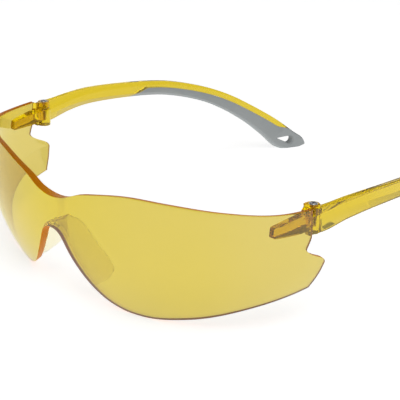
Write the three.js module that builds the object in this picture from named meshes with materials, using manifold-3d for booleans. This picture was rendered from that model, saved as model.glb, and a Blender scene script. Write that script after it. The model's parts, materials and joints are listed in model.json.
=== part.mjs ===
// Safety glasses: a one-piece wraparound amber shield with a soft nose piece, and two arms that
// fold on screwed hinges. The rear half of each arm carries a soft grip with a lanyard slot.
//
// Millimetres. +X is to the right when the front of the shield is looked at, +Y runs back along
// the arms and +Z is up. The origin is on the table, below the middle of the glasses, which rest
// on the shield's two lowest points and on the two arm tips.
//
// Every paired piece is built for the +X side and mirrored for the -X side.

import * as THREE from 'three';
import { mergeVertices } from 'three/addons/utils/BufferGeometryUtils.js';
import Module from 'manifold-3d';

const wasm = await Module();
wasm.setup();

// ---- Driving dimensions ---------------------------------------------------------------------

const GAP = 0.3;                       // clearance between neighbouring pieces
const CUT_RUN_OUT = 9;                 // how far a cutting tool runs on past what it cuts

// The shield's outer face is a superellipse in plan, squarer than an ellipse. Its waist follows an
// ellipse in height.
const SHIELD_CENTRE = new THREE.Vector3(0, -34.7, 31.8);
const SHIELD_RADII = new THREE.Vector3(71.1, 56, 60.2);
const SQUARENESS = 2.44;               // exponent of the superellipse; 2 would be a plain ellipse

// Edges of the shield as [degrees round from its middle, height].
const TOP_EDGE = [
  [0, 34.1], [5, 35.1], [10, 37.7], [16, 39.7], [25, 41.8], [36, 42.2], [50, 41.4], [66, 40.2], [84, 40.4],
];
const BOTTOM_EDGE = [
  [0, 23.2], [3.5, 21.6], [6.5, 15.6], [9.6, 10.5], [15.5, 3.9], [22, 0.7], [29.2, 0], [44, 2.9],
  [62, 8.5], [87, 13.7],
];

// Side edge as [height, degrees round]: up the fin to its corner, in to the notch, out to the hinge.
const SIDE_EDGE = [
  [12.9, 81.7], [16.4, 83.9], [19.8, 85.2], [21.2, 85.5], [22.5, 84.7], [25.8, 79.4], [27, 77.6],
  [28.3, 76.5], [29.8, 77], [31.8, 77.8], [34, 77.9], [40.6, 77.9],
];

// Thickness of the shield as [degrees round, mm]: deeper in the middle, over the nose.
const SHIELD_THICKNESS = [[0, 3.4], [6, 2.9], [13, 2.4], [25, 2], [45, 1.9], [62, 1.5], [88, 1.4]];

const SHIELD_COLUMNS = 48;
const MIDDLE_CROWDING = 0.65;          // how much closer together the columns are in the middle

// Nose piece: a thin saddle behind the notch, with a wing down each side of the nose.
const NOSE_THICKNESS = 1.2;
const NOSE_OFFSET = 0.9;               // how far outside the notch outline it sits
const NOSE_FLARE = THREE.MathUtils.degToRad(9);
const NOSE_END_ANGLE = 12.5;           // degrees round from the middle where the wings end
const NOSE_DEPTH = [[0, 4.8], [0.25, 6], [0.5, 7.6], [0.75, 8.2], [0.9, 7], [1, 3.5]];
const NOSE_COLUMNS = 40;
const NOSE_ROWS = 5;
const NOSE_STEP = 0.01;                // share of the half width over which its slope is taken

// Hinge: a vertical screw on each side, through an ear on the shield's block and a barrel on the arm.
const HINGE = new THREE.Vector2(66.8, -42.9);
const BARREL_RADIUS = 2.5;
const BARREL_BOTTOM = 31.4;
const BARREL_TOP = 37.4;
const EAR_RADIUS = 2.1;
const EAR_TOP = 40.4;
const EAR_FRONT = -46.7;
const EAR_SLANT = 1.7;                 // cut across the inner front corner of the ear
const EAR_OUTER = 67.1;                // outer side of the ear in front of its round end
const FLANGE_FRONT = -47;              // flange that joins the ear to the beam's outer end
const FLANGE_OUTER = 68.6;
const FLANGE_BOTTOM = 36.5;
const FLANGE_TOP = 40.2;
const STOP_FACE = -46;                 // front of the arm, which meets the shield when open
const UPPER_FRONT = -44.4;             // front of the arm beside the ear
const KNUCKLE_INNER = 66.6;
const KNUCKLE_OUTER = 68.6;
const KNUCKLE_TOP = 39.9;
const KNUCKLE_BACK = -40.6;
const POST_SIDES = 28;

const SCREW_RADIUS = 0.7;
const SCREW_BOTTOM = 33.6;
const HEAD_RADIUS = 1.4;
const HEAD_HEIGHT = 0.9;
const HEAD_CHAMFER = 0.3;
const HEAD_TOP = 40.7;
const RECESS_WIDTH = 0.5;
const RECESS_DEPTH = 0.45;
const SCREW_SIDES = 20;

// Block that joins the shield to the hinge: its side as [y, z], and its inner face as [x, y].
const BLOCK_SIDE = [
  [-58.9, 32.7], [-50, 33.1], [-46.5, 33.8], [-42.9, 34], [-42.9, 38.8], [-44.5, 38.8],
  [-45.3, 37.6], [-47, 37.4], [-58.6, 36.1],
];
const BLOCK_INNER_FACE = [[63.8, -59.5], [64, -50], [64.2, -45], [64.2, -42.9]];
const BLOCK_OUTER_FACE = [[68.8, -42.9], [68.8, -46.3], [75, -51], [75, -59.5]]; // the shield cuts this
const ARM_ROOM_SIDE = 66.3;            // inner side of the room that the front of the arm turns in

// Arm: matching points on its top and bottom edges, as [y, z], from the hinge to the tip.
const ARM_TOP = [
  [-46, 39.9], [-37.5, 40.2], [-29, 40.8], [-17, 41], [3, 40], [19.6, 38.2], [36.6, 33.9], [50.7, 28.4],
  [64.1, 21.2], [75.8, 14], [84.6, 7.5], [89.4, 4.1], [90.8, 1.2],
];
const ARM_BOTTOM = [
  [-46, 31.4], [-38.5, 31.6], [-29, 33.5], [-17, 34.5], [3, 34], [18.8, 32.4], [34.8, 28.1], [47.7, 22.4],
  [59.8, 15], [69, 7.8], [77.3, 0.7], [85.5, -0.6], [90.1, 0.6],
];
const ARM_STATIONS = 48;
const ARM_THICKNESS = [[0, 2.5], [0.1, 2.95], [0.4, 3.07], [0.6, 3.12], [1, 3.37]];

// Outer side of the arm as [y, x]: bowed out behind the hinge, then in towards the head.
const ARM_OUTER_SIDE = [
  [-46, 69.1], [-37, 69.8], [-21, 71.3], [1, 70.2], [31, 66.3], [61, 61.2], [93, 53.4],
];
const CORNER = 0.5;                    // chamfer along the arm's outer edges

// Inner side of the arm's section. At the hinge it narrows to a low ridge, and from INNER_SETTLED on
// it is a tall flat face. BOTTOM and TOP are widths of the sloping faces below and above it; LOW and
// HIGH are shares of the arm's height.
const INNER_SETTLED = 2 / 3;           // share of the stations
const RIDGE_BOTTOM = 1;                // left of the full width at the hinge
const RIDGE_TOP = 1.5;
const RIDGE_LOW = 0.45;
const RIDGE_HIGH = 0.62;
const FACE_BOTTOM = 0.9;
const FACE_TOP = 0.7;
const FACE_LOW = 0.08;
const FACE_HIGH = 0.93;

// Amber core that stays showing along the grip's top edge and ends in a point.
const CORE_START = 0.2;                // shares of the arm's stations
const CORE_END = 0.81;
const CORE_POINT = 0.05;
const CORE_HEIGHT = 2.5;
const CORE_POINT_HEIGHT = 0.3;
const SHARE_PER_MM = 1 / 130;          // stations' share that a millimetre near the tip takes

// Front end of the grip: a plane that leans forward as it goes down.
const GRIP_START = new THREE.Vector2(9.5, 37.2);
const GRIP_LEAN = THREE.MathUtils.degToRad(71.4);

// Lanyard slot: a teardrop through each arm tip, pointed at its front end.
const SLOT_CENTRE = new THREE.Vector2(80.2, 4.5);
const SLOT_LENGTH = 8.5;
const SLOT_RADIUS = 1.7;
const SLOT_SLOPE = THREE.MathUtils.degToRad(-12);
const SLOT_ARC_STEPS = 8;

const PAST_SIDES = 1.5;                // how far a cutting bar stands out past the arm it cuts
const LARGE = 300;                     // larger than the glasses, for cutting regions

// ---- Materials ------------------------------------------------------------------------------

const amber = {
  color: 0xdfc860, roughness: 0.06, metalness: 0, transparent: true, opacity: 0.75,
};
const FINISHES = {
  shield: amber,
  hinge_block: { ...amber, color: 0xc89b1e, opacity: 0.9 },
  arm: { ...amber, color: 0xd8bc48, opacity: 0.85 },
  nose_piece: { color: 0xe6dcae, roughness: 0.3, metalness: 0, transparent: true, opacity: 0.8 },
  grip: { color: 0x979d9e, roughness: 0.6, metalness: 0 },
  screw: { color: 0xb8b8ba, roughness: 0.25, metalness: 1 },
};

// ---- Helpers --------------------------------------------------------------------------------

function smoothstep(share) {
  const s = THREE.MathUtils.clamp(share, 0, 1);
  return s * s * (3 - 2 * s);
}

// A smooth curve through [place, value] knots, with each knot's slope set by its neighbours.
function smoothCurve(knots) {
  const last = knots.length - 1;
  const chord = (i) => (knots[i + 1][1] - knots[i][1]) / (knots[i + 1][0] - knots[i][0]);
  const slopes = knots.map((knot, i) => {
    if (i === 0) return chord(0);
    if (i === last) return chord(last - 1);
    const before = knot[0] - knots[i - 1][0];
    const after = knots[i + 1][0] - knot[0];
    return (chord(i - 1) * after + chord(i) * before) / (before + after);
  });
  return (place) => {
    let i = 0;
    while (i < last - 1 && place > knots[i + 1][0]) i += 1;
    const width = knots[i + 1][0] - knots[i][0];
    const t = (place - knots[i][0]) / width;
    const rise = knots[i + 1][1] - knots[i][1];
    const bend = t * t * (3 - 2 * t);
    return knots[i][1] + rise * bend
      + width * t * (1 - t) * ((1 - t) * slopes[i] - t * slopes[i + 1]);
  };
}

// The same for an edge that mirrors about place 0.
function mirroredCurve(knots) {
  const otherHalf = knots.slice(1).reverse().map(([place, value]) => [-place, value]);
  return smoothCurve([...otherHalf, ...knots]);
}

// A closed geometry from a list of points and a list of triangles.
function geometryFrom(points, triangles) {
  const geometry = new THREE.BufferGeometry();
  geometry.setAttribute('position', new THREE.Float32BufferAttribute(points.flatMap((p) => p.toArray()), 3));
  geometry.setIndex(triangles.flat());
  return geometry;
}

// A closed sheet with two faces. point(i, j, side) gives the grid point of face 0 or face 1.
function sheetGeometry(columns, rows, point) {
  const points = [];
  const triangles = [];
  const index = (i, j, side) => (i * (rows + 1) + j) * 2 + side;
  for (let i = 0; i <= columns; i += 1) {
    for (let j = 0; j <= rows; j += 1) {
      points.push(point(i, j, 0), point(i, j, 1));
    }
  }
  const quad = (a, b, c, d) => triangles.push([a, b, c], [a, c, d]);
  for (let i = 0; i < columns; i += 1) {
    for (let j = 0; j < rows; j += 1) {
      quad(index(i, j, 0), index(i + 1, j, 0), index(i + 1, j + 1, 0), index(i, j + 1, 0));
      quad(index(i, j, 1), index(i, j + 1, 1), index(i + 1, j + 1, 1), index(i + 1, j, 1));
    }
  }
  for (let i = 0; i < columns; i += 1) {
    quad(index(i, 0, 0), index(i, 0, 1), index(i + 1, 0, 1), index(i + 1, 0, 0));
    quad(index(i, rows, 0), index(i + 1, rows, 0), index(i + 1, rows, 1), index(i, rows, 1));
  }
  for (let j = 0; j < rows; j += 1) {
    quad(index(0, j, 0), index(0, j + 1, 0), index(0, j + 1, 1), index(0, j, 1));
    quad(index(columns, j, 0), index(columns, j, 1), index(columns, j + 1, 1), index(columns, j + 1, 0));
  }
  return geometryFrom(points, triangles);
}

// A closed bar through rings of points, with flat ends.
function barGeometry(rings) {
  const count = rings[0].length;
  const points = rings.flat();
  const triangles = [];
  for (let k = 0; k < rings.length - 1; k += 1) {
    for (let n = 0; n < count; n += 1) {
      const next = (n + 1) % count;
      const a = k * count + n;
      const b = k * count + next;
      const c = (k + 1) * count + next;
      const d = (k + 1) * count + n;
      triangles.push([a, c, b], [a, d, c]);
    }
  }
  const lastRing = (rings.length - 1) * count;
  for (let n = 1; n < count - 1; n += 1) {
    triangles.push([0, n, n + 1], [lastRing, lastRing + n + 1, lastRing + n]);
  }
  return geometryFrom(points, triangles);
}

// A closed geometry as a solid that can be cut, and back.
function toSolid(geometry) {
  const bare = geometry.clone();
  bare.deleteAttribute('normal');
  bare.deleteAttribute('uv');
  const merged = mergeVertices(bare, 1e-4);
  const vertProperties = new Float32Array(merged.attributes.position.array);
  const triVerts = new Uint32Array(merged.index.array);
  return new wasm.Manifold(new wasm.Mesh({ numProp: 3, vertProperties, triVerts }));
}

function toGeometry(solid) {
  const mesh = solid.getMesh();
  const geometry = new THREE.BufferGeometry();
  geometry.setAttribute('position', new THREE.BufferAttribute(new Float32Array(mesh.vertProperties), 3));
  geometry.setIndex(new THREE.BufferAttribute(new Uint32Array(mesh.triVerts), 1));
  return geometry;
}

// A flat [x, y] outline raised from one height to another.
function uprightSolid(outline, bottom, top) {
  const shape = new THREE.Shape(outline.map(([x, y]) => new THREE.Vector2(x, y)));
  const geometry = new THREE.ExtrudeGeometry(shape, { depth: top - bottom, bevelEnabled: false });
  return toSolid(geometry.translate(0, 0, bottom));
}

// A THREE.Shape drawn in [y, z], carried from one x to another.
function crossSolid(shape, from, to) {
  const geometry = new THREE.ExtrudeGeometry(shape, { depth: to - from, bevelEnabled: false });
  const axes = new THREE.Matrix4().makeBasis(
    new THREE.Vector3(0, 1, 0), new THREE.Vector3(0, 0, 1), new THREE.Vector3(1, 0, 0),
  );
  return toSolid(geometry.applyMatrix4(axes).translate(from, 0, 0));
}

// A round post on the hinge axis.
function hingePost(radius, bottom, top) {
  const geometry = new THREE.CylinderGeometry(radius, radius, top - bottom, POST_SIDES);
  geometry.rotateX(Math.PI / 2);
  return toSolid(geometry.translate(HINGE.x, HINGE.y, (bottom + top) / 2));
}

// The mirror image of a geometry across the YZ plane, with its faces turned to point out again.
function mirrored(geometry) {
  const copy = geometry.clone().applyMatrix4(new THREE.Matrix4().makeScale(-1, 1, 1));
  const index = copy.index.array;
  for (let i = 0; i < index.length; i += 3) {
    [index[i + 1], index[i + 2]] = [index[i + 2], index[i + 1]];
  }
  return copy;
}

// ---- Shield ---------------------------------------------------------------------------------

const topEdge = mirroredCurve(TOP_EDGE);
const bottomEdge = mirroredCurve(BOTTOM_EDGE);
const shieldThickness = mirroredCurve(SHIELD_THICKNESS);

// How wide the shield's outer face still is at a height, as a share of its widest.
function waistAt(height) {
  return Math.sqrt(1 - ((height - SHIELD_CENTRE.z) / SHIELD_RADII.z) ** 2);
}

// Point on the outer face at an angle round and a height.
function shieldPoint(degrees, height) {
  const sine = Math.sin(THREE.MathUtils.degToRad(degrees));
  const cosine = Math.cos(THREE.MathUtils.degToRad(degrees));
  const reach = (Math.abs(sine) ** SQUARENESS + Math.abs(cosine) ** SQUARENESS) ** (-1 / SQUARENESS);
  const waist = waistAt(height);
  return new THREE.Vector3(
    SHIELD_RADII.x * waist * reach * sine,
    SHIELD_CENTRE.y - SHIELD_RADII.y * waist * reach * cosine,
    height,
  );
}

// Direction that points out of the outer face.
function shieldNormal(point) {
  const from = point.clone().sub(SHIELD_CENTRE);
  const slope = (distance, radius) => Math.sign(distance)
    * Math.abs(distance) ** (SQUARENESS - 1) / radius ** SQUARENESS;
  return new THREE.Vector3(
    slope(from.x, SHIELD_RADII.x),
    slope(from.y, SHIELD_RADII.y),
    waistAt(point.z) ** (SQUARENESS - 2) * from.z / SHIELD_RADII.z ** 2,
  ).normalize();
}

// The shield as a closed sheet. grow adds clearance on its inner face and its edges, and runs the
// outer face out, which makes the tool that cuts a neighbour back from it.
function shieldGeometry(grow = 0) {
  const rows = SIDE_EDGE.length - 1;
  const lowest = SIDE_EDGE[0][0];
  const highest = SIDE_EDGE[rows][0];
  return sheetGeometry(SHIELD_COLUMNS, rows, (i, j, side) => {
    const across = (2 * i) / SHIELD_COLUMNS - 1;
    const spread = across * (1 - MIDDLE_CROWDING + MIDDLE_CROWDING * Math.abs(across));
    const degrees = (SIDE_EDGE[j][1] + grow) * spread;
    const top = topEdge(degrees);
    const bottom = bottomEdge(degrees);
    const share = (SIDE_EDGE[j][0] - lowest) / (highest - lowest);
    const height = bottom - grow + (top - bottom + 2 * grow) * share;
    const outer = shieldPoint(degrees, height);
    const outward = grow > 0 ? CUT_RUN_OUT : 0;
    const shift = side === 0 ? outward : -(shieldThickness(degrees) + grow);
    return outer.clone().addScaledVector(shieldNormal(outer), shift);
  });
}

// ---- Nose piece -----------------------------------------------------------------------------

// How far back the shield's inner face lies at a given x and height near the nose.
function innerFaceY(x, height) {
  const across = x / SHIELD_RADII.x;
  const ahead = (waistAt(height) ** SQUARENESS - Math.abs(across) ** SQUARENESS) ** (1 / SQUARENESS);
  const outer = new THREE.Vector3(x, SHIELD_CENTRE.y - SHIELD_RADII.y * ahead, height);
  const degrees = THREE.MathUtils.radToDeg(Math.atan2(across, ahead));
  return outer.y + shieldThickness(degrees) / Math.abs(shieldNormal(outer).y);
}

function nosePieceGeometry() {
  const depthAt = smoothCurve(NOSE_DEPTH);
  const outline = (across) => shieldPoint(across * NOSE_END_ANGLE, bottomEdge(across * NOSE_END_ANGLE));
  return sheetGeometry(NOSE_COLUMNS, NOSE_ROWS, (i, j, side) => {
    const across = (2 * i) / NOSE_COLUMNS - 1;
    const along = outline(across + NOSE_STEP).sub(outline(across - NOSE_STEP));
    const away = new THREE.Vector3(-along.z, 0, along.x).normalize();
    const shift = NOSE_OFFSET + (side === 0 ? 0.5 : -0.5) * NOSE_THICKNESS;
    const front = outline(across).addScaledVector(away, shift);
    front.y = innerFaceY(front.x, front.z) + GAP;
    const reach = depthAt(Math.abs(across)) * (j / NOSE_ROWS);
    front.y += reach * Math.cos(NOSE_FLARE);
    return front.addScaledVector(away, reach * Math.sin(NOSE_FLARE));
  });
}

// ---- Hinge ----------------------------------------------------------------------------------

function hingeBlockGeometry() {
  const side = new THREE.Shape(BLOCK_SIDE.map(([y, z]) => new THREE.Vector2(y, z)));
  const plan = uprightSolid([...BLOCK_INNER_FACE, ...BLOCK_OUTER_FACE], BARREL_BOTTOM, EAR_TOP);
  const beam = crossSolid(side, 0, LARGE).intersect(plan);
  const earBottom = BARREL_TOP + GAP;
  const earInner = HINGE.x - EAR_RADIUS;
  const ear = uprightSolid(
    [
      [earInner, EAR_FRONT + EAR_SLANT], [earInner + EAR_SLANT, EAR_FRONT], [EAR_OUTER, EAR_FRONT],
      [EAR_OUTER, HINGE.y], [earInner, HINGE.y],
    ],
    earBottom,
    EAR_TOP,
  ).add(hingePost(EAR_RADIUS, earBottom, EAR_TOP));
  const flange = uprightSolid([
    [earInner + EAR_SLANT, FLANGE_FRONT], [FLANGE_OUTER, FLANGE_FRONT],
    [FLANGE_OUTER, STOP_FACE - GAP], [earInner + EAR_SLANT, STOP_FACE - GAP],
  ], FLANGE_BOTTOM, FLANGE_TOP);
  const armRoom = uprightSolid([
    [ARM_ROOM_SIDE, STOP_FACE - GAP], [LARGE, STOP_FACE - GAP],
    [LARGE, HINGE.y + GAP], [ARM_ROOM_SIDE, HINGE.y + GAP],
  ], BARREL_BOTTOM - PAST_SIDES, EAR_TOP);
  const barrelRoom = hingePost(BARREL_RADIUS + GAP, BARREL_BOTTOM - PAST_SIDES, earBottom);
  return toGeometry(
    beam.subtract(armRoom)
      .subtract(barrelRoom)
      .add(ear)
      .add(flange)
      .subtract(hingePost(SCREW_RADIUS + GAP, earBottom - PAST_SIDES, EAR_TOP + PAST_SIDES))
      .subtract(hingePost(HEAD_RADIUS + GAP, HEAD_TOP - HEAD_HEIGHT - GAP, EAR_TOP + PAST_SIDES))
      .subtract(toSolid(shieldGeometry(GAP))),
  );
}

function hingeScrewGeometry() {
  const headBottom = HEAD_TOP - HEAD_HEIGHT;
  const profile = [
    [0, SCREW_BOTTOM], [SCREW_RADIUS, SCREW_BOTTOM], [SCREW_RADIUS, headBottom], [HEAD_RADIUS, headBottom],
    [HEAD_RADIUS, HEAD_TOP - HEAD_CHAMFER], [HEAD_RADIUS - HEAD_CHAMFER, HEAD_TOP], [0, HEAD_TOP],
  ].map(([x, y]) => new THREE.Vector2(x, y));
  const turned = new THREE.LatheGeometry(profile, SCREW_SIDES).rotateX(Math.PI / 2);
  const recess = new THREE.BoxGeometry(RECESS_WIDTH, 3 * HEAD_RADIUS, 2 * RECESS_DEPTH);
  const screw = toGeometry(toSolid(turned).subtract(toSolid(recess.translate(0, 0, HEAD_TOP))));
  return screw.translate(HINGE.x, HINGE.y, 0);
}

// ---- Arms -----------------------------------------------------------------------------------

const armTop = new THREE.SplineCurve(ARM_TOP.map(([y, z]) => new THREE.Vector2(y, z)));
const armBottom = new THREE.SplineCurve(ARM_BOTTOM.map(([y, z]) => new THREE.Vector2(y, z)));
const armThickness = smoothCurve(ARM_THICKNESS);
const armOuterX = smoothCurve(ARM_OUTER_SIDE);

// Section of the arm as [out, up] corners in mm: out from its inner side, up from its bottom.
function armSection(along, width, height) {
  const rear = smoothstep(along / INNER_SETTLED);
  const { lerp } = THREE.MathUtils;
  return [
    [lerp(width - RIDGE_BOTTOM, FACE_BOTTOM, rear), 0], [width - CORNER, 0], [width, CORNER],
    [width, height - CORNER], [width - CORNER, height],
    [lerp(width - RIDGE_TOP, FACE_TOP, rear), height],
    [0, lerp(RIDGE_HIGH, FACE_HIGH, rear) * height], [0, lerp(RIDGE_LOW, FACE_LOW, rear) * height],
  ];
}

// A bar along the arm, whose section is given at each station.
function armBar(section, from = 0, to = 1) {
  const rings = [];
  for (let k = 0; k <= ARM_STATIONS; k += 1) {
    const along = from + ((to - from) * k) / ARM_STATIONS;
    const top = armTop.getPoint(along);
    const bottom = armBottom.getPoint(along);
    const width = armThickness(along);
    const height = top.distanceTo(bottom);
    rings.push(section(along, width, height).map(([out, up]) => {
      const place = bottom.clone().lerp(top, up / height);
      return new THREE.Vector3(armOuterX(place.x) - width + out, place.x, place.y);
    }));
  }
  return toSolid(barGeometry(rings));
}

// The band along the top of the arm that the core fills, with some clearance below and behind it.
function topBand(clearance) {
  const reach = PAST_SIDES;
  return armBar((along, width, height) => {
    const share = smoothstep((CORE_END - along) / CORE_POINT);
    const depth = THREE.MathUtils.lerp(CORE_POINT_HEIGHT, CORE_HEIGHT, share) + clearance;
    const low = height - depth;
    return [[-reach, low], [width + reach, low], [width + reach, height + reach], [-reach, height + reach]];
  }, CORE_START, CORE_END + clearance * SHARE_PER_MM);
}

// Everything in front of the leaning plane where the grip starts, moved back by a distance.
function frontRegion(back) {
  const box = new THREE.BoxGeometry(LARGE, LARGE, LARGE).translate(0, back - LARGE / 2, 0);
  box.rotateX(-GRIP_LEAN);
  return toSolid(box.translate(0, GRIP_START.x, GRIP_START.y));
}

function lanyardSlot() {
  const half = SLOT_LENGTH / 2;
  const shape = new THREE.Shape();
  shape.moveTo(-half, 0);
  shape.lineTo(half - 2 * SLOT_RADIUS, -SLOT_RADIUS);
  shape.absarc(half - SLOT_RADIUS, 0, SLOT_RADIUS, -Math.PI / 2, Math.PI / 2, false);
  shape.lineTo(half - 2 * SLOT_RADIUS, SLOT_RADIUS);
  const turned = new THREE.Shape(shape.getPoints(SLOT_ARC_STEPS).map(
    (p) => p.rotateAround(new THREE.Vector2(), SLOT_SLOPE).add(SLOT_CENTRE),
  ));
  return crossSolid(turned, 0, LARGE);
}

const wholeArm = armBar(armSection);

function templeArmGeometry() {
  const knuckle = uprightSolid([
    [KNUCKLE_INNER, STOP_FACE], [KNUCKLE_OUTER, STOP_FACE],
    [KNUCKLE_OUTER, KNUCKLE_BACK], [KNUCKLE_INNER, KNUCKLE_BACK],
  ], BARREL_BOTTOM, KNUCKLE_TOP);
  const aboveBarrel = uprightSolid(
    [[0, STOP_FACE - GAP], [LARGE, STOP_FACE - GAP], [LARGE, UPPER_FRONT], [0, UPPER_FRONT]],
    BARREL_TOP,
    LARGE,
  );
  return toGeometry(
    wholeArm.intersect(frontRegion(0).add(topBand(0)))
      .add(knuckle)
      .subtract(aboveBarrel)
      .subtract(hingePost(EAR_RADIUS + GAP, BARREL_TOP, LARGE))
      .add(hingePost(BARREL_RADIUS, BARREL_BOTTOM, BARREL_TOP))
      .subtract(hingePost(SCREW_RADIUS + GAP, SCREW_BOTTOM - GAP, LARGE)),
  );
}

// Room below the table, which cuts the flat that each arm tip rests on.
function belowTable() {
  return toSolid(new THREE.BoxGeometry(LARGE, LARGE, LARGE).translate(0, 0, -LARGE / 2));
}

function templeGripGeometry() {
  return toGeometry(
    wholeArm
      .subtract(belowTable())
      .subtract(frontRegion(GAP))
      .subtract(topBand(GAP))
      .subtract(lanyardSlot()),
  );
}

// ---- Assembly -------------------------------------------------------------------------------

const glasses = new THREE.Group();

function addPiece(name, geometry, finish) {
  const mesh = new THREE.Mesh(geometry, new THREE.MeshStandardMaterial(FINISHES[finish]));
  mesh.name = name;
  glasses.add(mesh);
}

addPiece('lens_shield', shieldGeometry(), 'shield');
addPiece('nose_piece', nosePieceGeometry(), 'nose_piece');

const paired = [
  ['hinge_block', hingeBlockGeometry(), 'hinge_block'],
  ['hinge_screw', hingeScrewGeometry(), 'screw'],
  ['temple_arm', templeArmGeometry(), 'arm'],
  ['temple_grip', templeGripGeometry(), 'grip'],
];
for (const [name, geometry, finish] of paired) {
  addPiece(`${name}_right`, geometry, finish);
  addPiece(`${name}_left`, mirrored(geometry), finish);
}

export default glasses;
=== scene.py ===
"""Looks of the safety glasses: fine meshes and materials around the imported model.

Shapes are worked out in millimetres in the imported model's frame and written in metres. Every paired
piece is built for the +X side and mirrored for the -X side.
"""
import json
import math

import bpy
import numpy as np
from mathutils import Matrix, Vector


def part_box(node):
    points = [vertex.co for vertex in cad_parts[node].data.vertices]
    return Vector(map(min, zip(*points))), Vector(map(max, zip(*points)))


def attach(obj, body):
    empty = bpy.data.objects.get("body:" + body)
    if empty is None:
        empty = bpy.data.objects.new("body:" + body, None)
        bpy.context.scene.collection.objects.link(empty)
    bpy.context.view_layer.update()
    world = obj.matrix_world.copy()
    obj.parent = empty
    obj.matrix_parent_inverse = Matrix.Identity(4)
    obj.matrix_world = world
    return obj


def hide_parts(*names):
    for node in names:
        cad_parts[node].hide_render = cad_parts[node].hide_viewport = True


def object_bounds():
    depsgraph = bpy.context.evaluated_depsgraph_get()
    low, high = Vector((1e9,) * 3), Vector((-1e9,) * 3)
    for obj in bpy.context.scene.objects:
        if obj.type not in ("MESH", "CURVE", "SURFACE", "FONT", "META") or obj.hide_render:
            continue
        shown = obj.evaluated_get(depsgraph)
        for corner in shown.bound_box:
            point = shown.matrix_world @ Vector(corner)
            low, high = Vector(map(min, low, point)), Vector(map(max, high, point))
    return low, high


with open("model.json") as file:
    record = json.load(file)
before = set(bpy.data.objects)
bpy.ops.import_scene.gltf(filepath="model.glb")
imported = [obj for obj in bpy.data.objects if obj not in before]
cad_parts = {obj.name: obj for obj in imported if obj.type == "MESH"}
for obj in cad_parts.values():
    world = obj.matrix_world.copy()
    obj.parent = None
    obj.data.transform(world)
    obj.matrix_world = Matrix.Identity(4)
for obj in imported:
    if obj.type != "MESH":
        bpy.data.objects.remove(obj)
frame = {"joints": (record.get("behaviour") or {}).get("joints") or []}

MM = 0.001
CAD_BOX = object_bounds()
SIDES = ("right", "left")


def millimetres(corner):
    return np.array(corner) / MM


# ---- Places that the frame gives ------------------------------------------------------------

BOX_LOW, BOX_HIGH = (millimetres(corner) for corner in CAD_BOX)
SHIELD_FRONT = millimetres(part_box("lens_shield")[0])[1]
STOP_FACE = millimetres(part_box("temple_arm_right")[0])[1]      # front of the arm
EAR_TOP = millimetres(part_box("hinge_block_right")[1])[2]
SCREW_BOTTOM, SCREW_TOP = (millimetres(corner)[2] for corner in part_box("hinge_screw_right"))
JOINTS = {joint["name"]: joint for joint in frame["joints"]}
HINGE = millimetres(JOINTS["hinge_right"]["pos_m"])[:2]

# ---- Sizes ----------------------------------------------------------------------------------

SEAM = 0.04                       # gap left between bonded or overmoulded pieces
GAP = 0.3                         # clearance between pieces that only meet
PAST_SIDES = 1.5                  # how far a cutting bar stands out past the arm it cuts
PAST_END = 1.0                    # how far other cutters run on past what they cut
CUT_RUN_OUT = 9.0                 # how far the shield's cutter reaches in front of the shield
LARGE = 200                       # larger than the glasses, for cutting regions

SHIELD_RADII = np.array([71.1, 56.0, 60.2])
SHIELD_CENTRE = np.array([0, SHIELD_FRONT + SHIELD_RADII[1], 31.8])
SQUARENESS = 2.44                 # exponent of the superellipse that the shield follows in plan

# Heights of the shield's edges at angles in degrees round from its middle.
TOP_EDGE = [
    (0, 34.1), (5, 35.1), (10, 37.7), (16, 39.7), (25, 41.8), (36, 42.2), (50, 41.4), (66, 40.2),
    (84, 40.4),
]
BOTTOM_EDGE = [
    (0, 23.2), (3.5, 21.6), (6.5, 15.6), (9.6, 10.5), (15.5, 3.9), (22, 0.7), (29.2, 0), (44, 2.9),
    (62, 8.5), (87, 13.7),
]

# Angles where the shield ends at each height: a fin low down and a notch above it.
SIDE_EDGE = [
    (12.9, 81.7), (16.4, 83.9), (19.8, 85.2), (21.2, 85.5), (22.5, 84.7), (25.8, 79.4), (27, 77.6),
    (28.3, 76.5), (29.8, 77), (31.8, 77.8), (34, 77.9), (40.6, 77.9),
]

# Thickness at angles round from the middle.
SHIELD_THICKNESS = [(0, 3.4), (6, 2.9), (13, 2.4), (25, 2), (45, 1.9), (62, 1.5), (88, 1.4)]
MIDDLE_CROWDING = 0.65            # how much closer together the shield's columns are in the middle
SHIELD_COLUMNS = 320
SHIELD_ROWS = 96
CUTTER_COLUMNS = 160              # for the shield's shape where it only cuts a neighbour
CUTTER_ROWS = 40
SHIELD_ROUNDING = 0.3

NOSE_THICKNESS = 1.0
NOSE_OFFSET = 0.9                 # how far outside the notch outline the nose piece sits
NOSE_FLARE = math.radians(9)
NOSE_END_ANGLE = 12.5             # degrees round from the middle where the wings end
# Depth at shares of the way from the middle to a wing's end.
NOSE_DEPTH = [(0, 4.8), (0.25, 6), (0.5, 7.6), (0.75, 8.2), (0.9, 7), (1, 3.5)]
NOSE_STEP = 0.01                  # share of the half width over which its slope is taken
NOSE_THINNING = 0.45              # share of the thickness lost by the rear edge
NOSE_THIN_FROM = 0.55             # share of the depth where the thinning starts
NOSE_COLUMNS = 200
NOSE_ROWS = 28
NOSE_ROUNDING = 0.25

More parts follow.
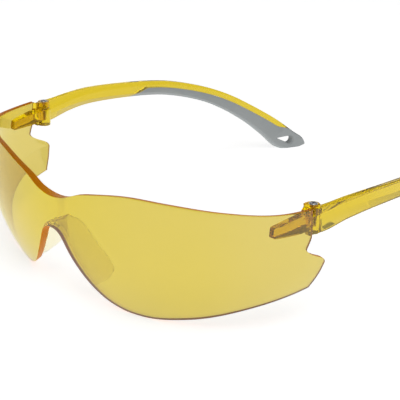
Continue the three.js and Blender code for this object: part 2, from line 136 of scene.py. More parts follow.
POST_SIDES = 96
BARREL_RADIUS = 2.5
BARREL_BOTTOM = 31.4
BARREL_TOP = 37.4
EAR_RADIUS = 2.1
EAR_FRONT = HINGE[1] - 3.8
EAR_OUTER = HINGE[0] + 0.3        # outer side of the ear in front of its round end
EAR_SLANT = 1.7                   # cut across the inner front corner of the ear
FLANGE_FRONT = EAR_FRONT - 0.3    # flange that joins the ear to the beam's outer end
FLANGE_OUTER = HINGE[0] + 1.8
FLANGE_BOTTOM = 36.5
FLANGE_TOP = EAR_TOP - 0.2
UPPER_FRONT = HINGE[1] - 1.5      # front of the arm beside the ear
KNUCKLE_INNER = HINGE[0] - 0.2
KNUCKLE_OUTER = HINGE[0] + 1.8
KNUCKLE_BACK = HINGE[1] + 2.3
KNUCKLE_TOP = 39.9
ROOM_SIDE = HINGE[0] - 0.5        # inner side of the room that the front of the arm turns in

# The beam: its side view as (y, z), then its plan as (x, y). The shield cuts its outer face.
BLOCK_SIDE = [
    (-58.9, 32.7), (-50, 33.1), (-46.5, 33.8), (-42.9, 34), (-42.9, 38.8), (-44.5, 38.8), (-45.3, 37.6),
    (-47, 37.4), (-58.6, 36.1),
]
BLOCK_INNER_FACE = [(63.8, -59.5), (64, -50), (64.2, -45), (64.2, -42.9)]
BLOCK_OUTER_FACE = [(68.8, -42.9), (68.8, -46.3), (75, -51), (75, -59.5)]
BLANK_INNER = 55                  # the blank that the plan cuts the beam from
BLANK_OUTER = 76
BLANK_BOTTOM = 30
BEAM_CORNER = 0.8                 # rounding along the beam's long edges
BLOCK_ROUNDING = 0.2

SCREW_RADIUS = 0.7
SCREW_SIDES = 64
SCREW_PLAY = 0.1                  # room round the shank and the head
TIP_HEIGHT = 0.4                  # the shank narrows to its end over this height
TIP_SHARE = 0.7                   # share of the shank's radius left at its end
THREAD_START = 0.5                # above the shank's end
THREAD_END = 1.2                  # below the head
THREAD_STEPS = 40                 # rings, of which every second one is cut in
THREAD_DEPTH = 0.12
PLAIN_SHANK = 1.0                 # below the head
HEAD_RADIUS = 1.4
HEAD_HEIGHT = 0.9
HEAD_ROUNDING = 0.3
HEAD_ARC_POINTS = 7
HEAD_CHAMFER = 0.1                # round the head's underside
RECESS_REACH = HEAD_RADIUS - 0.5  # each way from the middle
RECESS_HALF_WIDTH = 0.22
RECESS_DEPTH = 0.5
RECESS_TURNS = (20, 110)          # degrees; two slots make a cross
SCREW_ROUNDING = 0.04

# Edges of the arm's side view as (y, z), from the hinge to the tip.
ARM_TOP = [
    (-46, 39.9), (-37.5, 40.2), (-29, 40.8), (-17, 41), (3, 40), (19.6, 38.2), (36.6, 33.9), (50.7, 28.4),
    (64.1, 21.2), (75.8, 14), (84.6, 7.5), (89.4, 4.1), (90.8, 1.2),
]
ARM_BOTTOM = [
    (-46, 31.4), (-38.5, 31.6), (-29, 33.5), (-17, 34.5), (3, 34), (18.8, 32.4), (34.8, 28.1), (47.7, 22.4),
    (59.8, 15), (69, 7.8), (77.3, 0.7), (85.5, -0.6), (90.1, 0.6),
]

# Thickness at shares of the arm's length in knots, then x of its outer side at each y.
ARM_THICKNESS = [(0, 2.5), (0.1, 2.95), (0.4, 3.07), (0.6, 3.12), (1, 3.37)]
ARM_OUTER_SIDE = [
    (-46, 69.1), (-37, 69.8), (-21, 71.3), (1, 70.2), (31, 66.3), (61, 61.2), (93, 53.4),
]
ARM_STATIONS = 150
ARM_CORNER = 0.6                  # rounding along the arm's long edges
ARM_ROUNDING = 0.15
GRIP_ROUNDING = 0.12

# Inner side of the arm's section. At the hinge it narrows to a low ridge, and from INNER_SETTLED on
# it is a tall flat face. BOTTOM and TOP are widths of the sloping faces below and above it; LOW and
# HIGH are shares of the arm's height.
INNER_SETTLED = 2 / 3             # share of the arm's length in knots
RIDGE_BOTTOM = 1                  # left of the full width at the hinge
RIDGE_TOP = 1.5
RIDGE_LOW = 0.45
RIDGE_HIGH = 0.62
FACE_BOTTOM = 0.9
FACE_TOP = 0.7
FACE_LOW = 0.08
FACE_HIGH = 0.93

# Amber core that stays showing along the grip's top edge and ends in a point.
CORE_START = 0.2                  # shares of the arm's length in knots
CORE_END = 0.81
CORE_POINT = 0.05
CORE_HEIGHT = 2.5
CORE_POINT_HEIGHT = 0.3
SHARE_PER_MM = 1 / 130            # share that a millimetre near the tip takes

# Front end of the grip: a plane that leans forward as it goes down.
GRIP_START = (9.5, 37.2)
GRIP_LEAN = math.radians(71.4)

# Lanyard slot: a teardrop through each arm tip, pointed at its front end.
SLOT_CENTRE = (80.2, 4.5)
SLOT_LENGTH = 8.5
SLOT_RADIUS = 1.7
SLOT_SLOPE = math.radians(-12)
SLOT_ARC = 105                    # degrees either way from the rear end to where the sides leave it
SLOT_ARC_POINTS = 25
SLOT_PLACE = 0.9                  # share of the arm's length in knots
SLOT_RUN_OUT = 4.0                # how far the slot's cutter reaches past each side
SLOT_RIM = 0.45                   # rounding where the slot comes out of either side of the tip
RIM_POINTS = 6

# ---- Curves ---------------------------------------------------------------------------------


def smoothstep(share):
    s = np.clip(share, 0, 1)
    return s * s * (3 - 2 * s)


def smooth_curve(knots):
    """A smooth curve through (place, value) knots, with each knot's slope set by its neighbours."""
    places, values = np.array(knots, float).T
    widths = np.diff(places)
    chords = np.diff(values) / widths
    slopes = np.concatenate([chords[:1], np.zeros(len(places) - 2), chords[-1:]])
    slopes[1:-1] = (chords[:-1] * widths[1:] + chords[1:] * widths[:-1]) / (widths[:-1] + widths[1:])

    def value(place):
        i = np.clip(np.searchsorted(places, place, side="right") - 1, 0, len(widths) - 1)
        t = (place - places[i]) / widths[i]
        bend = t * t * (3 - 2 * t)
        lean = widths[i] * t * (1 - t) * ((1 - t) * slopes[i] - t * slopes[i + 1])
        return values[i] + (values[i + 1] - values[i]) * bend + lean

    return value


def mirrored_curve(knots):
    return smooth_curve([(-place, value) for place, value in knots[:0:-1]] + list(knots))


def spline_point(knots, along):
    """Point on a uniform Catmull-Rom spline at a share of its length in knots."""
    points = np.array(knots, float)
    last = len(points) - 1
    place = along * last
    i = min(int(place), last - 1)
    t = place - i
    before, here = points[max(i - 1, 0)], points[i]
    there, after = points[i + 1], points[min(i + 2, last)]
    start, end = (there - before) / 2, (after - here) / 2
    return (
        (2 * here - 2 * there + start + end) * t ** 3
        + (3 * there - 3 * here - 2 * start - end) * t ** 2
        + start * t
        + here
    )


ARC_STEPS = 5
MOST_SETBACK = 0.42               # share of the shorter side that an arc may take up
LEAD = 0.15                       # from an arc to the point that keeps its side flat
MOST_LEAD = 0.05                  # share of the shorter side


def rounded_outline(corners, radius):
    """A flat outline with each corner turned into an arc. A point a little way along each side keeps
    the sides flat when the mesh is shaded smooth."""
    corners = [np.array(corner, float) for corner in corners]
    outline = []
    for k, here in enumerate(corners):
        to_before = corners[k - 1] - here
        to_after = corners[(k + 1) % len(corners)] - here
        shorter = min(np.linalg.norm(to_before), np.linalg.norm(to_after))
        to_before /= np.linalg.norm(to_before)
        to_after /= np.linalg.norm(to_after)
        half_angle = math.acos(np.clip(to_before @ to_after, -1, 1)) / 2
        setback = min(radius / math.tan(half_angle), MOST_SETBACK * shorter)
        lead = min(LEAD, MOST_LEAD * shorter)
        outline.append(here + to_before * (setback + lead))
        for step in range(ARC_STEPS + 1):
            t = step / ARC_STEPS
            outline.append(here + to_before * setback * (1 - t) ** 2 + to_after * setback * t ** 2)
        outline.append(here + to_after * (setback + lead))
    return outline


# ---- Meshes ---------------------------------------------------------------------------------

SHARP_ANGLE = 35                  # degrees; edges that bend less are shaded smooth
SHEET_ANGLE = 50                  # degrees; only a thin sheet's rim bends more


def mesh_object(name, points, faces):
    mesh = bpy.data.meshes.new(name)
    mesh.from_pydata((np.array(points, float) * MM).tolist(), [], faces)
    mesh.update()
    piece = bpy.data.objects.new(name, mesh)
    bpy.context.scene.collection.objects.link(piece)
    return piece


def sheet_object(name, columns, rows, face_points):
    """A closed sheet. face_points(across, up, side) gives the points of face 0 or 1 on the whole grid."""
    across, up = np.meshgrid(np.linspace(-1, 1, columns + 1), np.linspace(0, 1, rows + 1), indexing="ij")
    grid = np.stack([face_points(across, up, side) for side in (0, 1)], axis=2)

    def index(i, j, side):
        return (i * (rows + 1) + j) * 2 + side

    faces = []
    for i in range(columns):
        for j in range(rows):
            faces.append((index(i, j, 0), index(i + 1, j, 0), index(i + 1, j + 1, 0), index(i, j + 1, 0)))
            faces.append((index(i, j, 1), index(i, j + 1, 1), index(i + 1, j + 1, 1), index(i + 1, j, 1)))
    for i in range(columns):
        faces.append((index(i, 0, 0), index(i, 0, 1), index(i + 1, 0, 1), index(i + 1, 0, 0)))
        faces.append((index(i, rows, 0), index(i + 1, rows, 0), index(i + 1, rows, 1), index(i, rows, 1)))
    for j in range(rows):
        faces.append((index(0, j, 0), index(0, j + 1, 0), index(0, j + 1, 1), index(0, j, 1)))
        faces.append(
            (index(columns, j, 0), index(columns, j, 1), index(columns, j + 1, 1), index(columns, j + 1, 0))
        )
    return mesh_object(name, grid.reshape(-1, 3), faces)


def bar_object(name, rings):
    """A closed bar through rings of points that run anticlockwise when looked at along the bar."""
    count = len(rings[0])
    faces = []
    for k in range(len(rings) - 1):
        for n in range(count):
            m = (n + 1) % count
            faces.append((k * count + n, (k + 1) * count + n, (k + 1) * count + m, k * count + m))
    faces.append(tuple(range(count)))
    faces.append(tuple(reversed(range((len(rings) - 1) * count, len(rings) * count))))
    return mesh_object(name, np.concatenate(rings), faces)


def stack_object(name, rings):
    """A closed solid through rings of points that run anticlockwise when looked at from the last ring."""
    count = len(rings[0])
    faces = []
    for k in range(len(rings) - 1):
        for n in range(count):
            m = (n + 1) % count
            faces.append((k * count + n, k * count + m, (k + 1) * count + m, (k + 1) * count + n))
    faces.append(tuple(reversed(range(count))))
    faces.append(tuple(range((len(rings) - 1) * count, len(rings) * count)))
    return mesh_object(name, np.concatenate(rings), faces)


def upright_object(name, outline, bottom, top):
    """A flat (x, y) outline, anticlockwise from above, raised from one height to another."""
    return stack_object(name, [[(x, y, z) for x, y in outline] for z in (bottom, top)])


def cross_object(name, outline, start, end):
    """A (y, z) outline, anticlockwise when looked at along -X, carried from one x to another."""
    return stack_object(name, [[(x, y, z) for y, z in outline] for x in (start, end)])


def ring_points(centre, radius, sides):
    angles = np.arange(sides) * 2 * math.pi / sides
    return np.stack([centre[0] + radius * np.cos(angles), centre[1] + radius * np.sin(angles)], axis=1)


def post_object(name, radius, bottom, top):
    """An upright post round the hinge's axis."""
    return upright_object(name, ring_points(HINGE, radius, POST_SIDES), bottom, top)


def box_object(name, low, high):
    outline = [(low[0], low[1]), (high[0], low[1]), (high[0], high[1]), (low[0], high[1])]
    return upright_object(name, outline, low[2], high[2])


def bake_modifiers(piece):
    graph = bpy.context.evaluated_depsgraph_get()
    mesh = bpy.data.meshes.new_from_object(piece.evaluated_get(graph))
    piece.modifiers.clear()
    old = piece.data
    piece.data = mesh
    bpy.data.meshes.remove(old)


def combine(piece, tool, operation):
    """Joins, cuts or keeps the overlap of piece with tool, and removes the tool."""
    modifier = piece.modifiers.new(operation, "BOOLEAN")
    modifier.operation = operation
    modifier.solver = "EXACT"
    modifier.object = tool
    bake_modifiers(piece)
    bpy.data.objects.remove(tool)
    return piece


def soften(piece, width, segments=3, angle=40):
    """Rounds the edges that are sharper than an angle and shades the finished mesh smooth."""
    bevel = piece.modifiers.new("rounded_edges", "BEVEL")
    bevel.width = width * MM
    bevel.segments = segments
    bevel.limit_method = "ANGLE"
    bevel.angle_limit = math.radians(angle)
    bevel.miter_outer = "MITER_ARC"
    bake_modifiers(piece)
    piece.data.shade_smooth()
    piece.data.set_sharp_from_angle(angle=math.radians(SHARP_ANGLE))
    return piece


def mirrored_copy(piece, name):
    mesh = piece.data.copy()
    mesh.name = name
    mesh.transform(Matrix.Scale(-1, 4, (1, 0, 0)))
    mesh.flip_normals()
    copy = bpy.data.objects.new(name, mesh)
    bpy.context.scene.collection.objects.link(copy)
    return copy


# ---- Shield ---------------------------------------------------------------------------------

top_edge = mirrored_curve(TOP_EDGE)
bottom_edge = mirrored_curve(BOTTOM_EDGE)
side_edge = smooth_curve(SIDE_EDGE)
shield_thickness = mirrored_curve(SHIELD_THICKNESS)


def waist_at(height):
    """How wide the shield's outer face still is at a height, as a share of its widest."""
    return np.sqrt(1 - ((height - SHIELD_CENTRE[2]) / SHIELD_RADII[2]) ** 2)


def shield_point(degrees, height):
    """Point on the shield's outer face at an angle round and a height."""
    sine, cosine = np.sin(np.radians(degrees)), np.cos(np.radians(degrees))
    reach = (np.abs(sine) ** SQUARENESS + np.abs(cosine) ** SQUARENESS) ** (-1 / SQUARENESS)
    x = SHIELD_RADII[0] * waist_at(height) * reach * sine
    y = SHIELD_CENTRE[1] - SHIELD_RADII[1] * waist_at(height) * reach * cosine
    return np.stack([x, y, height], axis=-1)


def shield_normal(points):
    """Direction that points out of the outer face."""
    away = points - SHIELD_CENTRE
    level = np.sign(away) * np.abs(away) ** (SQUARENESS - 1) / SHIELD_RADII ** SQUARENESS
    rise = waist_at(points[..., 2]) ** (SQUARENESS - 2) * away[..., 2] / SHIELD_RADII[2] ** 2
    normal = np.stack([level[..., 0], level[..., 1], rise], axis=-1)
    return normal / np.linalg.norm(normal, axis=-1, keepdims=True)


def shield_object(name, columns, rows, grow=0.0):
    """The shield. With grow it is the tool that cuts a neighbour back from the shield's inner face."""
    lowest, highest = SIDE_EDGE[0][0], SIDE_EDGE[-1][0]

    def face_points(across, up, side):
        spread = across * (1 - MIDDLE_CROWDING + MIDDLE_CROWDING * np.abs(across))
        degrees = (side_edge(lowest + (highest - lowest) * up) + grow) * spread
        top, bottom = top_edge(degrees), bottom_edge(degrees)
        height = bottom - grow + (top - bottom + 2 * grow) * up
        outer = shield_point(degrees, height)
        if side == 0:
            shift = np.full_like(degrees, CUT_RUN_OUT if grow else 0)
        else:
            shift = -(shield_thickness(degrees) + grow)
        return outer + shield_normal(outer) * shift[..., None]

    return sheet_object(name, columns, rows, face_points)


def make_shield():
    """The shield, with its edge faces in the second material slot, which paints the rim's dark orange shade
    onto them.
    """
    shield = shield_object("shield", SHIELD_COLUMNS, SHIELD_ROWS)
    shield.data.materials.append(None)
    shield.data.materials.append(None)
    for face in shield.data.polygons[2 * SHIELD_COLUMNS * SHIELD_ROWS:]:
        face.material_index = 1
    return soften(shield, SHIELD_ROUNDING, angle=SHEET_ANGLE)


# ---- Nose piece -----------------------------------------------------------------------------


def inner_face_y(x, height):
    """How far back the shield's inner face lies at a given x and height near the nose."""
    across = x / SHIELD_RADII[0]
    ahead = (waist_at(height) ** SQUARENESS - np.abs(across) ** SQUARENESS) ** (1 / SQUARENESS)
    y = SHIELD_CENTRE[1] - SHIELD_RADII[1] * ahead
    normal = shield_normal(np.stack([x, y, height], axis=-1))
    return y + shield_thickness(np.degrees(np.arctan2(across, ahead))) / np.abs(normal[..., 1])


def make_nose_piece():
    depth_at = smooth_curve(NOSE_DEPTH)

    def outline(across):
        return shield_point(across * NOSE_END_ANGLE, bottom_edge(across * NOSE_END_ANGLE))

    def face_points(across, up, side):
        along = outline(across + NOSE_STEP) - outline(across - NOSE_STEP)
        away = np.stack([-along[..., 2], np.zeros_like(across), along[..., 0]], axis=-1)
        away /= np.linalg.norm(away, axis=-1, keepdims=True)
        taper = 1 - NOSE_THINNING * smoothstep((up - NOSE_THIN_FROM) / (1 - NOSE_THIN_FROM))
        half = 0.5 * NOSE_THICKNESS * taper * (1 if side == 0 else -1)
        front = outline(across) + away * NOSE_OFFSET
        front[..., 1] = inner_face_y(front[..., 0], front[..., 2]) + GAP
        reach = depth_at(np.abs(across)) * up
        front[..., 1] += reach * math.cos(NOSE_FLARE)
        return front + away * (reach * math.sin(NOSE_FLARE) + half)[..., None]

    saddle = sheet_object("nose_saddle", NOSE_COLUMNS, NOSE_ROWS, face_points)
    return soften(saddle, NOSE_ROUNDING, angle=SHEET_ANGLE)


# ---- Hinge ----------------------------------------------------------------------------------


def make_hinge_block():
    side_view = rounded_outline(BLOCK_SIDE, BEAM_CORNER)
    block = cross_object("hinge_beam_right", side_view, BLANK_INNER, BLANK_OUTER)
    plan = BLOCK_INNER_FACE[::-1] + BLOCK_OUTER_FACE[::-1]
    combine(block, upright_object("plan", plan, BLANK_BOTTOM, EAR_TOP), "INTERSECT")
    ear_bottom = BARREL_TOP + GAP
    front, back = STOP_FACE - GAP, HINGE[1] + GAP
    arm_room = [(ROOM_SIDE, front), (LARGE, front), (LARGE, back), (ROOM_SIDE, back)]
    low, high = BARREL_BOTTOM - PAST_END, EAR_TOP + PAST_END
    combine(block, upright_object("room", arm_room, low, high), "DIFFERENCE")
    combine(block, post_object("barrel", BARREL_RADIUS + GAP, low, ear_bottom), "DIFFERENCE")
    inner = HINGE[0] - EAR_RADIUS
    ear_plan = [
        (inner, EAR_FRONT + EAR_SLANT), (inner + EAR_SLANT, EAR_FRONT), (EAR_OUTER, EAR_FRONT),
        (EAR_OUTER, HINGE[1]), (inner, HINGE[1]),
    ]
    combine(block, upright_object("ear", ear_plan, ear_bottom, EAR_TOP), "UNION")
    combine(block, post_object("ear_end", EAR_RADIUS, ear_bottom, EAR_TOP), "UNION")
    flange_low = (inner + EAR_SLANT, FLANGE_FRONT, FLANGE_BOTTOM)
    combine(block, box_object("flange", flange_low, (FLANGE_OUTER, front, FLANGE_TOP)), "UNION")
    bore_radius, seat_radius = SCREW_RADIUS + SCREW_PLAY, HEAD_RADIUS + SCREW_PLAY
    combine(block, post_object("bore", bore_radius, ear_bottom - PAST_END, high), "DIFFERENCE")
    combine(block, post_object("seat", seat_radius, SCREW_TOP - HEAD_HEIGHT - SEAM, high), "DIFFERENCE")
    combine(block, shield_object("lens_tool", CUTTER_COLUMNS, CUTTER_ROWS, grow=SEAM), "DIFFERENCE")
    return soften(block, BLOCK_ROUNDING)


def screw_profile():
    """The screw's (radius, height) points from its lower end up to the flat of its head."""
    head_bottom = SCREW_TOP - HEAD_HEIGHT
    profile = [(SCREW_RADIUS * TIP_SHARE, SCREW_BOTTOM), (SCREW_RADIUS, SCREW_BOTTOM + TIP_HEIGHT)]
    turns = np.linspace(SCREW_BOTTOM + THREAD_START, head_bottom - THREAD_END, THREAD_STEPS)
    for k, height in enumerate(turns):
        profile.append((SCREW_RADIUS - (THREAD_DEPTH if k % 2 else 0), height))
    profile += [
        (SCREW_RADIUS, head_bottom - PLAIN_SHANK), (SCREW_RADIUS, head_bottom),
        (HEAD_RADIUS - HEAD_CHAMFER, head_bottom), (HEAD_RADIUS, head_bottom + HEAD_CHAMFER),
        (HEAD_RADIUS, SCREW_TOP - HEAD_ROUNDING),
    ]
    for angle in np.linspace(0, math.pi / 2, HEAD_ARC_POINTS)[1:]:
        radius = HEAD_RADIUS - HEAD_ROUNDING * (1 - math.cos(angle))
        profile.append((radius, SCREW_TOP - HEAD_ROUNDING * (1 - math.sin(angle))))
    return profile


def make_hinge_screw():
    rings = [
        [(x, y, height) for x, y in ring_points(HINGE, radius, SCREW_SIDES)]
        for radius, height in screw_profile()
    ]
    screw = stack_object("screw_right", rings)
    slot = np.array([(-1, -1), (1, -1), (1, 1), (-1, 1)]) * (RECESS_REACH, RECESS_HALF_WIDTH)
    for angle in np.radians(RECESS_TURNS):
        cosine, sine = math.cos(angle), math.sin(angle)
        outline = slot @ np.array([[cosine, sine], [-sine, cosine]]) + HINGE
        recess = upright_object("recess", outline, SCREW_TOP - RECESS_DEPTH, SCREW_TOP + PAST_END)
        combine(screw, recess, "DIFFERENCE")
    return soften(screw, SCREW_ROUNDING, segments=2)


# ---- Arms -----------------------------------------------------------------------------------

arm_thickness = smooth_curve(ARM_THICKNESS)
arm_outer_x = smooth_curve(ARM_OUTER_SIDE)


def arm_section(along, width, height):
    """Corners of the arm's section, as (out from its inner side, up from its bottom)."""
    rear = float(smoothstep(along / INNER_SETTLED))

    def blend(at_hinge, at_tip):
        return at_hinge + (at_tip - at_hinge) * rear

    corners = [
        (blend(width - RIDGE_BOTTOM, FACE_BOTTOM), 0), (width, 0),
        (width, height), (blend(width - RIDGE_TOP, FACE_TOP), height),
        (0, blend(RIDGE_HIGH, FACE_HIGH) * height), (0, blend(RIDGE_LOW, FACE_LOW) * height),
    ]
    return rounded_outline(corners, ARM_CORNER)


def arm_bar(name, section, start=0.0, end=1.0):
    """A bar along the arm, whose section is given at each station."""
    rings = []
    for along in np.linspace(start, end, ARM_STATIONS + 1):
        top, bottom = spline_point(ARM_TOP, along), spline_point(ARM_BOTTOM, along)
        width, height = float(arm_thickness(along)), float(np.linalg.norm(top - bottom))
        ring = []
        for out, up in section(along, width, height):
            y, z = bottom + (top - bottom) * (up / height)
            ring.append((float(arm_outer_x(y)) - width + out, y, z))
        rings.append(ring)
    return bar_object(name, rings)


def top_band(clearance):
    """The band along the top of the arm that the core fills, with some clearance below and behind."""
    def section(along, width, height):
        share = float(smoothstep((CORE_END - along) / CORE_POINT))
        low = height - CORE_POINT_HEIGHT - (CORE_HEIGHT - CORE_POINT_HEIGHT) * share - clearance
        inner, outer, high = -PAST_SIDES, width + PAST_SIDES, height + PAST_SIDES
        return [(inner, low), (outer, low), (outer, high), (inner, high)]

    return arm_bar("top_band", section, CORE_START, CORE_END + clearance * SHARE_PER_MM)


def front_region(back):
    """Everything in front of the leaning plane where the grip starts, moved back by a distance."""
    box = box_object("front_region", (-LARGE, -LARGE, -LARGE), (LARGE, back, LARGE))
    turn = Matrix.Rotation(-GRIP_LEAN, 4, "X")
    place = Matrix.Translation(Vector((0, GRIP_START[0], GRIP_START[1])) * MM)
    box.data.transform(place @ turn)
    return box


def slot_outline(grow):
    """The lanyard slot's teardrop, pointed at its front end."""
    radius = SLOT_RADIUS + grow
    half = SLOT_LENGTH / 2
    points = [(-half - grow, 0)]
    for angle in np.radians(np.linspace(-SLOT_ARC, SLOT_ARC, SLOT_ARC_POINTS)):
        points.append((half - SLOT_RADIUS + radius * math.cos(angle), radius * math.sin(angle)))
    cosine, sine = math.cos(SLOT_SLOPE), math.sin(SLOT_SLOPE)
    return [
        (a * cosine - b * sine + SLOT_CENTRE[0], a * sine + b * cosine + SLOT_CENTRE[1])
        for a, b in points
    ]


def slot_object():
    """The slot's cutter, which flares where it leaves both sides of the tip so that the rim is round."""
    width = float(arm_thickness(SLOT_PLACE))
    inner_half = [(-width - SLOT_RUN_OUT, SLOT_RIM)]
    for angle in np.linspace(0, math.pi / 2, RIM_POINTS):
        inner_half.append((-width + SLOT_RIM * math.sin(angle), SLOT_RIM * (1 - math.sin(angle))))
    outer_half = [(-place - width, grow) for place, grow in reversed(inner_half)]
    rings = []
    for place, grow in inner_half + outer_half:
        rings.append([
            (float(arm_outer_x(base)) + place, y, z)
            for (base, _), (y, z) in zip(slot_outline(0), slot_outline(grow))
        ])
    return bar_object("slot", rings[::-1])


def make_arm():
    arm = arm_bar("arm_right", arm_section)
    combine(arm, combine(front_region(0), top_band(0), "UNION"), "INTERSECT")
    knuckle = [
        (KNUCKLE_INNER, STOP_FACE), (KNUCKLE_OUTER, STOP_FACE),
        (KNUCKLE_OUTER, KNUCKLE_BACK), (KNUCKLE_INNER, KNUCKLE_BACK),
    ]
    combine(arm, upright_object("knuckle", knuckle, BARREL_BOTTOM, KNUCKLE_TOP), "UNION")
    beside_ear = ((0, STOP_FACE - PAST_END, BARREL_TOP), (LARGE, UPPER_FRONT, LARGE))
    combine(arm, box_object("beside_ear", *beside_ear), "DIFFERENCE")
    combine(arm, post_object("ear_room", EAR_RADIUS + GAP, BARREL_TOP, LARGE), "DIFFERENCE")
    combine(arm, post_object("barrel", BARREL_RADIUS, BARREL_BOTTOM, BARREL_TOP), "UNION")
    bore = post_object("bore", SCREW_RADIUS + SCREW_PLAY, SCREW_BOTTOM - SCREW_PLAY, LARGE)
    combine(arm, bore, "DIFFERENCE")
    return soften(arm, ARM_ROUNDING, segments=2)


def make_grip():
    grip = arm_bar("grip_right", arm_section)
    combine(grip, box_object("table", (0, -LARGE, -LARGE), (LARGE, LARGE, 0)), "DIFFERENCE")
    combine(grip, front_region(SEAM), "DIFFERENCE")
    combine(grip, top_band(SEAM), "DIFFERENCE")
    combine(grip, slot_object(), "DIFFERENCE")
    return soften(grip, GRIP_ROUNDING, segments=2)


# ---- Materials ------------------------------------------------------------------------------

AMBER_LOSS = (0.003, 0.01, 0.8)   # share of red, green and blue lost per millimetre
NOSE_LOSS = (0.004, 0.01, 0.05)
SHIELD_TINT = (0.69, 0.56, 0.41, 1)
# Painted shade: the shield's rim faces get this dark orange instead of the amber's own colour, standing in
# for light that has crossed the sheet lengthwise.
RIM_PAINTED_SHADE = (0.86, 0.29, 0.001, 1)
NOSE_TINT = (0.93, 0.9, 0.72, 1)
BEAM_TINT = (0.93, 0.7, 0.08, 1)
ARM_TINT = (0.78, 0.6, 0.22, 1)
GREY_DARK = (0.325, 0.352, 0.358, 1)
GREY_LIGHT = (0.395, 0.418, 0.423, 1)
STEEL = (0.62, 0.62, 0.64, 1)
STUDIO_WHITE = (0.8, 0.8, 0.8, 1)

# Noise scales, as cells per metre.
SMEARS = 60
GRIP_CLOUDS = 90
GRIP_SHEEN = 400
GRIP_GRAIN = 2500
STEEL_GRAIN = 3000
GRAIN_HEIGHT = 0.02 * MM          # height of the bumps that GRIP_GRAIN makes


def new_material(name):
    material = bpy.data.materials.new(name)
    material.use_nodes = True
    return material, material.node_tree


def link(tree, source, target):
    tree.links.new(source, target)


def noise(tree, scale, detail=3.0):
    """A noise pattern fixed to the piece."""
    coordinates = tree.nodes.new("ShaderNodeTexCoord")
    texture = tree.nodes.new("ShaderNodeTexNoise")
    texture.inputs["Scale"].default_value = scale
    texture.inputs["Detail"].default_value = detail
    link(tree, coordinates.outputs["Object"], texture.inputs["Vector"])
    return texture.outputs["Fac"]


def mapped(tree, source, low, high):
    node = tree.nodes.new("ShaderNodeMapRange")
    node.inputs["To Min"].default_value = low
    node.inputs["To Max"].default_value = high
    link(tree, source, node.inputs["Value"])
    return node.outputs["Result"]


def bump(tree, height, distance):
    node = tree.nodes.new("ShaderNodeBump")
    node.inputs["Distance"].default_value = distance
    node.inputs["Strength"].default_value = 1
    link(tree, height, node.inputs["Height"])
    return node.outputs["Normal"]


def clear_plastic(name, loss, tint, roughness=(0.02, 0.05), clearness=1, bending=1.585):
    """Clear coloured plastic, whose colour deepens with the thickness that is looked through. Bending
    is its refractive index: a lower one than real plastic's keeps dark reflections out of thick pieces."""
    material, tree = new_material(name)
    shader = tree.nodes["Principled BSDF"]
    shader.inputs["Base Color"].default_value = tint
    shader.inputs["Transmission Weight"].default_value = clearness
    shader.inputs["IOR"].default_value = bending
    link(tree, mapped(tree, noise(tree, SMEARS), *roughness), shader.inputs["Roughness"])
    most = max(loss)
    absorption = tree.nodes.new("ShaderNodeVolumeAbsorption")
    absorption.inputs["Density"].default_value = most / MM
    absorption.inputs["Color"].default_value = [1 - share / most for share in loss] + [1]
    link(tree, absorption.outputs["Volume"], tree.nodes["Material Output"].inputs["Volume"])
    return material


def soft_grey():
    material, tree = new_material("soft_grey")
    shader = tree.nodes["Principled BSDF"]
    ramp = tree.nodes.new("ShaderNodeValToRGB")
    ramp.color_ramp.elements[0].color = GREY_DARK
    ramp.color_ramp.elements[1].color = GREY_LIGHT
    link(tree, noise(tree, GRIP_CLOUDS, detail=5), ramp.inputs["Fac"])
    link(tree, ramp.outputs["Color"], shader.inputs["Base Color"])
    link(tree, mapped(tree, noise(tree, GRIP_SHEEN), 0.42, 0.6), shader.inputs["Roughness"])
    link(tree, bump(tree, noise(tree, GRIP_GRAIN, detail=2), GRAIN_HEIGHT), shader.inputs["Normal"])
    return material


def plain_steel():
    material, tree = new_material("plain_steel")
    shader = tree.nodes["Principled BSDF"]
    shader.inputs["Base Color"].default_value = STEEL
    shader.inputs["Metallic"].default_value = 1
    link(tree, mapped(tree, noise(tree, STEEL_GRAIN), 0.18, 0.34), shader.inputs["Roughness"])
    return material


def studio_white(name, glow):
    material, tree = new_material(name)
    shader = tree.nodes["Principled BSDF"]
    shader.inputs["Base Color"].default_value = STUDIO_WHITE
    shader.inputs["Roughness"].default_value = 0.9
    shader.inputs["Emission Color"].default_value = (1, 1, 1, 1)
    shader.inputs["Emission Strength"].default_value = glow
    return material


# ---- Studio ---------------------------------------------------------------------------------

FLOOR_REACH = 3000                # from the middle to each side
FLOOR_DROP = 0.02                 # keeps the floor just clear of the glasses
FLOOR_GLOW = 0.7
BACKDROP_RADIUS = 2500
BACKDROP_BOTTOM = -1              # just below the floor
BACKDROP_TOP = 900
BACKDROP_START = 45               # degrees round from +X
BACKDROP_END = 225
BACKDROP_STEP = 5
BACKDROP_GLOW = 0.3
WORLD_GLOW = 0.2
LAMP_PLACE = (0.5, -0.3, 1.0)     # metres
LAMP_SIZE = 0.8                   # metres
LAMP_POWER = 4                    # watts


def make_floor():
    reach = FLOOR_REACH
    corners = [(-reach, -reach, 0), (reach, -reach, 0), (reach, reach, 0), (-reach, reach, 0)]
    floor = mesh_object("floor", corners, [(0, 1, 2, 3)])
    floor.location.z = -FLOOR_DROP * MM
    floor.data.materials.append(studio_white("pale_floor", FLOOR_GLOW))


def make_backdrop():
    """A far curved wall behind the glasses. Light that the clear plastic bends to the horizon meets it."""
    angles = np.radians(np.arange(BACKDROP_START, BACKDROP_END + 1, BACKDROP_STEP))
    ring = [(BACKDROP_RADIUS * math.cos(a), BACKDROP_RADIUS * math.sin(a)) for a in angles]
    points = [(x, y, z) for z in (BACKDROP_BOTTOM, BACKDROP_TOP) for x, y in ring]
    count = len(ring)
    faces = [(n, n + 1, n + 1 + count, n + count) for n in range(count - 1)]
    backdrop = mesh_object("backdrop", points, faces)
    backdrop.data.materials.append(studio_white("pale_backdrop", BACKDROP_GLOW))


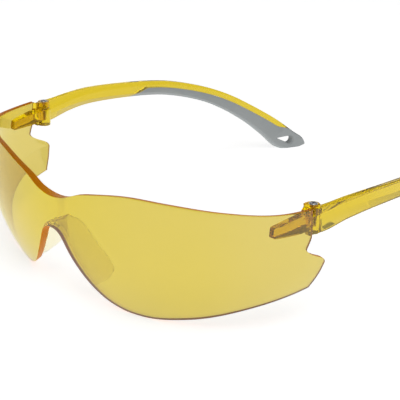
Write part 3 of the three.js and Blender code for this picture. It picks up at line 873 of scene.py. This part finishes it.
def make_light():
    world = bpy.data.worlds.new("studio")
    bpy.context.scene.world = world
    world.use_nodes = True
    background = world.node_tree.nodes["Background"]
    background.inputs["Color"].default_value = (1, 1, 1, 1)
    background.inputs["Strength"].default_value = WORLD_GLOW
    lamp = bpy.data.lights.new("soft_box", "AREA")
    lamp.shape = "SQUARE"
    lamp.size = LAMP_SIZE
    lamp.energy = LAMP_POWER
    soft_box = bpy.data.objects.new("soft_box", lamp)
    bpy.context.scene.collection.objects.link(soft_box)
    soft_box.location = LAMP_PLACE
    soft_box.rotation_euler = (-soft_box.location).to_track_quat("-Z", "Y").to_euler()


CAMERA_AZIMUTH = math.radians(45.33)
CAMERA_ELEVATION = math.radians(21.13)
CAMERA_ROLL = math.radians(2.373)
CAMERA_DISTANCE = 395.3
CAMERA_AIM = np.array([12.4, -36.8, 23.4])       # from the middle of the box's floor
CAMERA_NEAR = 0.01                               # metres
CAMERA_FAR = 20                                  # metres
SENSOR_WIDTH = 36                                # of the camera, in millimetres
FOCAL_SHARE = 2.92                               # focal length as a share of the picture's width


def make_camera():
    """A long lens from the front and right, a little above."""
    camera = bpy.data.cameras.new("camera")
    camera.sensor_width = SENSOR_WIDTH
    camera.lens = FOCAL_SHARE * SENSOR_WIDTH
    camera.clip_start = CAMERA_NEAR
    camera.clip_end = CAMERA_FAR
    holder = bpy.data.objects.new("camera", camera)
    bpy.context.scene.collection.objects.link(holder)
    back = Vector((
        math.sin(CAMERA_AZIMUTH) * math.cos(CAMERA_ELEVATION),
        -math.cos(CAMERA_AZIMUTH) * math.cos(CAMERA_ELEVATION),
        math.sin(CAMERA_ELEVATION),
    ))
    level = Vector((math.cos(CAMERA_AZIMUTH), math.sin(CAMERA_AZIMUTH), 0))
    upright = back.cross(level)
    right = level * math.cos(CAMERA_ROLL) + upright * math.sin(CAMERA_ROLL)
    up = upright * math.cos(CAMERA_ROLL) - level * math.sin(CAMERA_ROLL)
    base = (BOX_LOW + BOX_HIGH) / 2
    base[2] = BOX_LOW[2]
    place = Vector((base + CAMERA_AIM) * MM) + back * CAMERA_DISTANCE * MM
    holder.matrix_world = Matrix((
        (right.x, up.x, back.x, place.x),
        (right.y, up.y, back.y, place.y),
        (right.z, up.z, back.z, place.z),
        (0, 0, 0, 1),
    ))
    bpy.context.scene.camera = holder


# ---- Assembly -------------------------------------------------------------------------------


def finish_piece(piece, materials, node, body):
    """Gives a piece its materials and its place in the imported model."""
    while len(piece.data.materials) < len(materials):
        piece.data.materials.append(None)
    for k, material in enumerate(materials):
        piece.data.materials[k] = material
    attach(piece, body)
    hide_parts(node)


def add_pair(piece, material, node, bodies):
    """Finishes a right piece and its mirrored left one. bodies gives the body of each side."""
    pair = {"right": piece, "left": mirrored_copy(piece, piece.name.replace("right", "left"))}
    for side in SIDES:
        finish_piece(pair[side], [material], f"{node}_{side}", bodies[side])


def make_glasses():
    front = {"right": "front", "left": "front"}
    arms = {"right": "temple_right", "left": "temple_left"}

    amber = clear_plastic("amber", AMBER_LOSS, SHIELD_TINT)
    # The rim faces are the same amber. A duller, darker, mostly unclear copy of it paints the rim's shade
    # on.
    edge = clear_plastic(
        "amber_rim_painted_shade", AMBER_LOSS, RIM_PAINTED_SHADE, roughness=(0.3, 0.4), clearness=0.3, bending=1.15
    )
    finish_piece(make_shield(), [amber, edge], "lens_shield", "front")

    nose = clear_plastic(
        "nose_soft", NOSE_LOSS, NOSE_TINT, roughness=(0.04, 0.08), clearness=0.97, bending=1.15
    )
    finish_piece(make_nose_piece(), [nose], "nose_piece", "front")

    deep_amber = clear_plastic(
        "deep_amber", AMBER_LOSS, BEAM_TINT, roughness=(0.03, 0.07), clearness=0.92, bending=1.2
    )
    add_pair(make_hinge_block(), deep_amber, "hinge_block", front)
    add_pair(make_hinge_screw(), plain_steel(), "hinge_screw", front)

    arm_amber = clear_plastic("arm_amber", AMBER_LOSS, ARM_TINT, clearness=0.92, bending=1.38)
    add_pair(make_arm(), arm_amber, "temple_arm", arms)
    add_pair(make_grip(), soft_grey(), "temple_grip", arms)


BOUNCES = 96                      # enough for light to pass all the clear surfaces in its way


def prepare_scene():
    """Sets how colours are shown and how far light is followed."""
    scene = bpy.context.scene
    scene.view_settings.view_transform = "Standard"
    scene.cycles.max_bounces = BOUNCES
    scene.cycles.transmission_bounces = BOUNCES
    scene.cycles.glossy_bounces = BOUNCES


prepare_scene()
make_camera()
make_floor()
make_backdrop()
make_light()
make_glasses()
